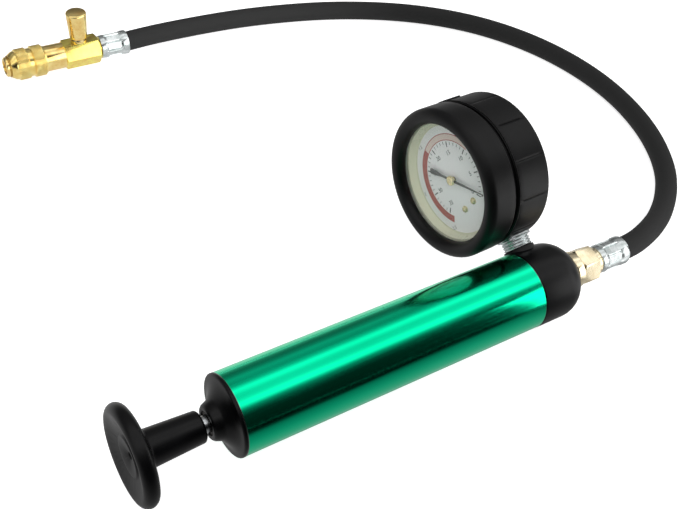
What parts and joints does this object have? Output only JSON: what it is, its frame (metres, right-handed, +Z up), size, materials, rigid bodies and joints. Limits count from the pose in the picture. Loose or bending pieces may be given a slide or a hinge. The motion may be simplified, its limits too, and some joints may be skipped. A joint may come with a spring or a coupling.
{
  "type": "radiator pressure tester",
  "caption": "Hand pump with a round knob, a booted dial gauge leaning from its head, and a hose that ends in a knurled quick coupler with a bleed button.",
  "frame": {"origin": "middle of the pump's and gauge's bounding box, on the table they lie on", "axes": "+X along the pump towards the hose, +Y from the pump towards the coupler, +Z up"},
  "size_m": [0.3986, 0.3457, 0.0967],
  "materials": {
    "anodised_green": "bright green anodised aluminium tube",
    "black_plastic": "black moulded plastic",
    "white_plastic": "off-white nylon",
    "rubber": "black rubber",
    "hose_rubber": "smooth black hose cover",
    "steel": "bright drawn steel",
    "bright_steel": "bright plated steel",
    "brass": "plain turned brass",
    "bright_brass": "bright yellow turned brass",
    "nickel": "champagne nickel plate on brass",
    "clear_window": "clear window",
    "cream_plastic": "pale cream plastic",
    "dial_paint": "white painted dial with printed scales",
    "black_paint": "black paint"
  },
  "bodies": {
    "base": {"barrel": "anodised_green", "end_cap": "black_plastic", "rod_bush": "brass", "head_cap": "black_plastic", "head_ring": "rubber", "valve_seat": "brass", "valve_spring": "steel", "gauge_boot": "rubber", "gauge_case": "steel", "gauge_lens": "clear_window", "lens_spacer": "cream_plastic", "gauge_dial": "dial_paint", "dial_screws": "brass", "gauge_socket": "steel", "bourdon_tube": "brass", "movement_plates": "brass", "hairspring": "steel", "outlet_nipple": "brass", "swivel_nut": "nickel", "hose_tail": "brass", "pump_ferrule": "bright_steel", "hose": "hose_rubber", "hose_ends": "hose_rubber", "coupler_ferrule": "bright_steel", "coupler_hex": "bright_brass", "coupler_body": "bright_brass", "sleeve_spring": "steel", "sleeve_clip": "steel", "locking_balls": "steel", "coupler_seal": "rubber", "poppet_spring": "steel", "bleed_bonnet": "bright_brass", "bleed_spring": "steel", "bleed_seal": "rubber"},
    "plunger": {"plunger_rod": "steel", "knob": "black_plastic", "piston": "white_plastic", "cup_seal": "rubber", "piston_washer": "steel", "piston_nut": "steel"},
    "check_ball": {"valve_ball": "steel"},
    "pointer": {"gauge_needle": "black_paint", "needle_arbor": "steel"},
    "sector": {"sector_gear": "brass"},
    "link": {"bourdon_link": "steel"},
    "sleeve": {"coupler_sleeve": "bright_brass"},
    "poppet": {"poppet": "brass"},
    "button": {"bleed_button": "bright_brass"}
  },
  "joints": [
    {"name": "plunger_slide", "type": "slide", "parent": "base", "child": "plunger", "axis": [-0.9999, 0, 0.0166], "range_m": [-0.001, 0.105]},
    {"name": "check_ball_lift", "type": "slide", "parent": "base", "child": "check_ball", "axis": [0.9999, 0, -0.0166], "range_m": [0, 0.0012], "stiffness_N_per_m": 20, "springref_m": -0.002},
    {"name": "sector_swing", "type": "hinge", "parent": "base", "child": "sector", "pos_m": [0.06601, 0.01435, 0.07544], "axis": [0.9967, 0.0671, -0.0462], "range_deg": [0, 36]},
    {"name": "needle_turn", "type": "hinge", "parent": "base", "child": "pointer", "pos_m": [0.06508, 0.01663, 0.05856], "axis": [0.9967, 0.0671, -0.0462], "range_deg": [-270, 0]},
    {"name": "link_swing", "type": "hinge", "parent": "sector", "child": "link", "pos_m": [0.06625, 0.01561, 0.08232], "axis": [0.9967, 0.0671, -0.0462], "range_deg": [-36, 0]},
    {"name": "sleeve_slide", "type": "slide", "parent": "base", "child": "sleeve", "axis": [0.9987, -0.0506, 0], "range_m": [0, 0.0034], "stiffness_N_per_m": 1500, "springref_m": -0.002},
    {"name": "poppet_slide", "type": "slide", "parent": "base", "child": "poppet", "axis": [0.9987, -0.0506, 0], "range_m": [0, 0.0015], "stiffness_N_per_m": 800, "springref_m": -0.002},
    {"name": "bleed_button_press", "type": "slide", "parent": "base", "child": "button", "axis": [0, 0, -1], "range_m": [0, 0.001], "stiffness_N_per_m": 1500, "springref_m": -0.002}
  ],
  "couplings": [
    {"joint": "needle_turn", "follows": "sector_swing", "ratio": -7.5},
    {"joint": "link_swing", "follows": "sector_swing", "ratio": -1}
  ]
}
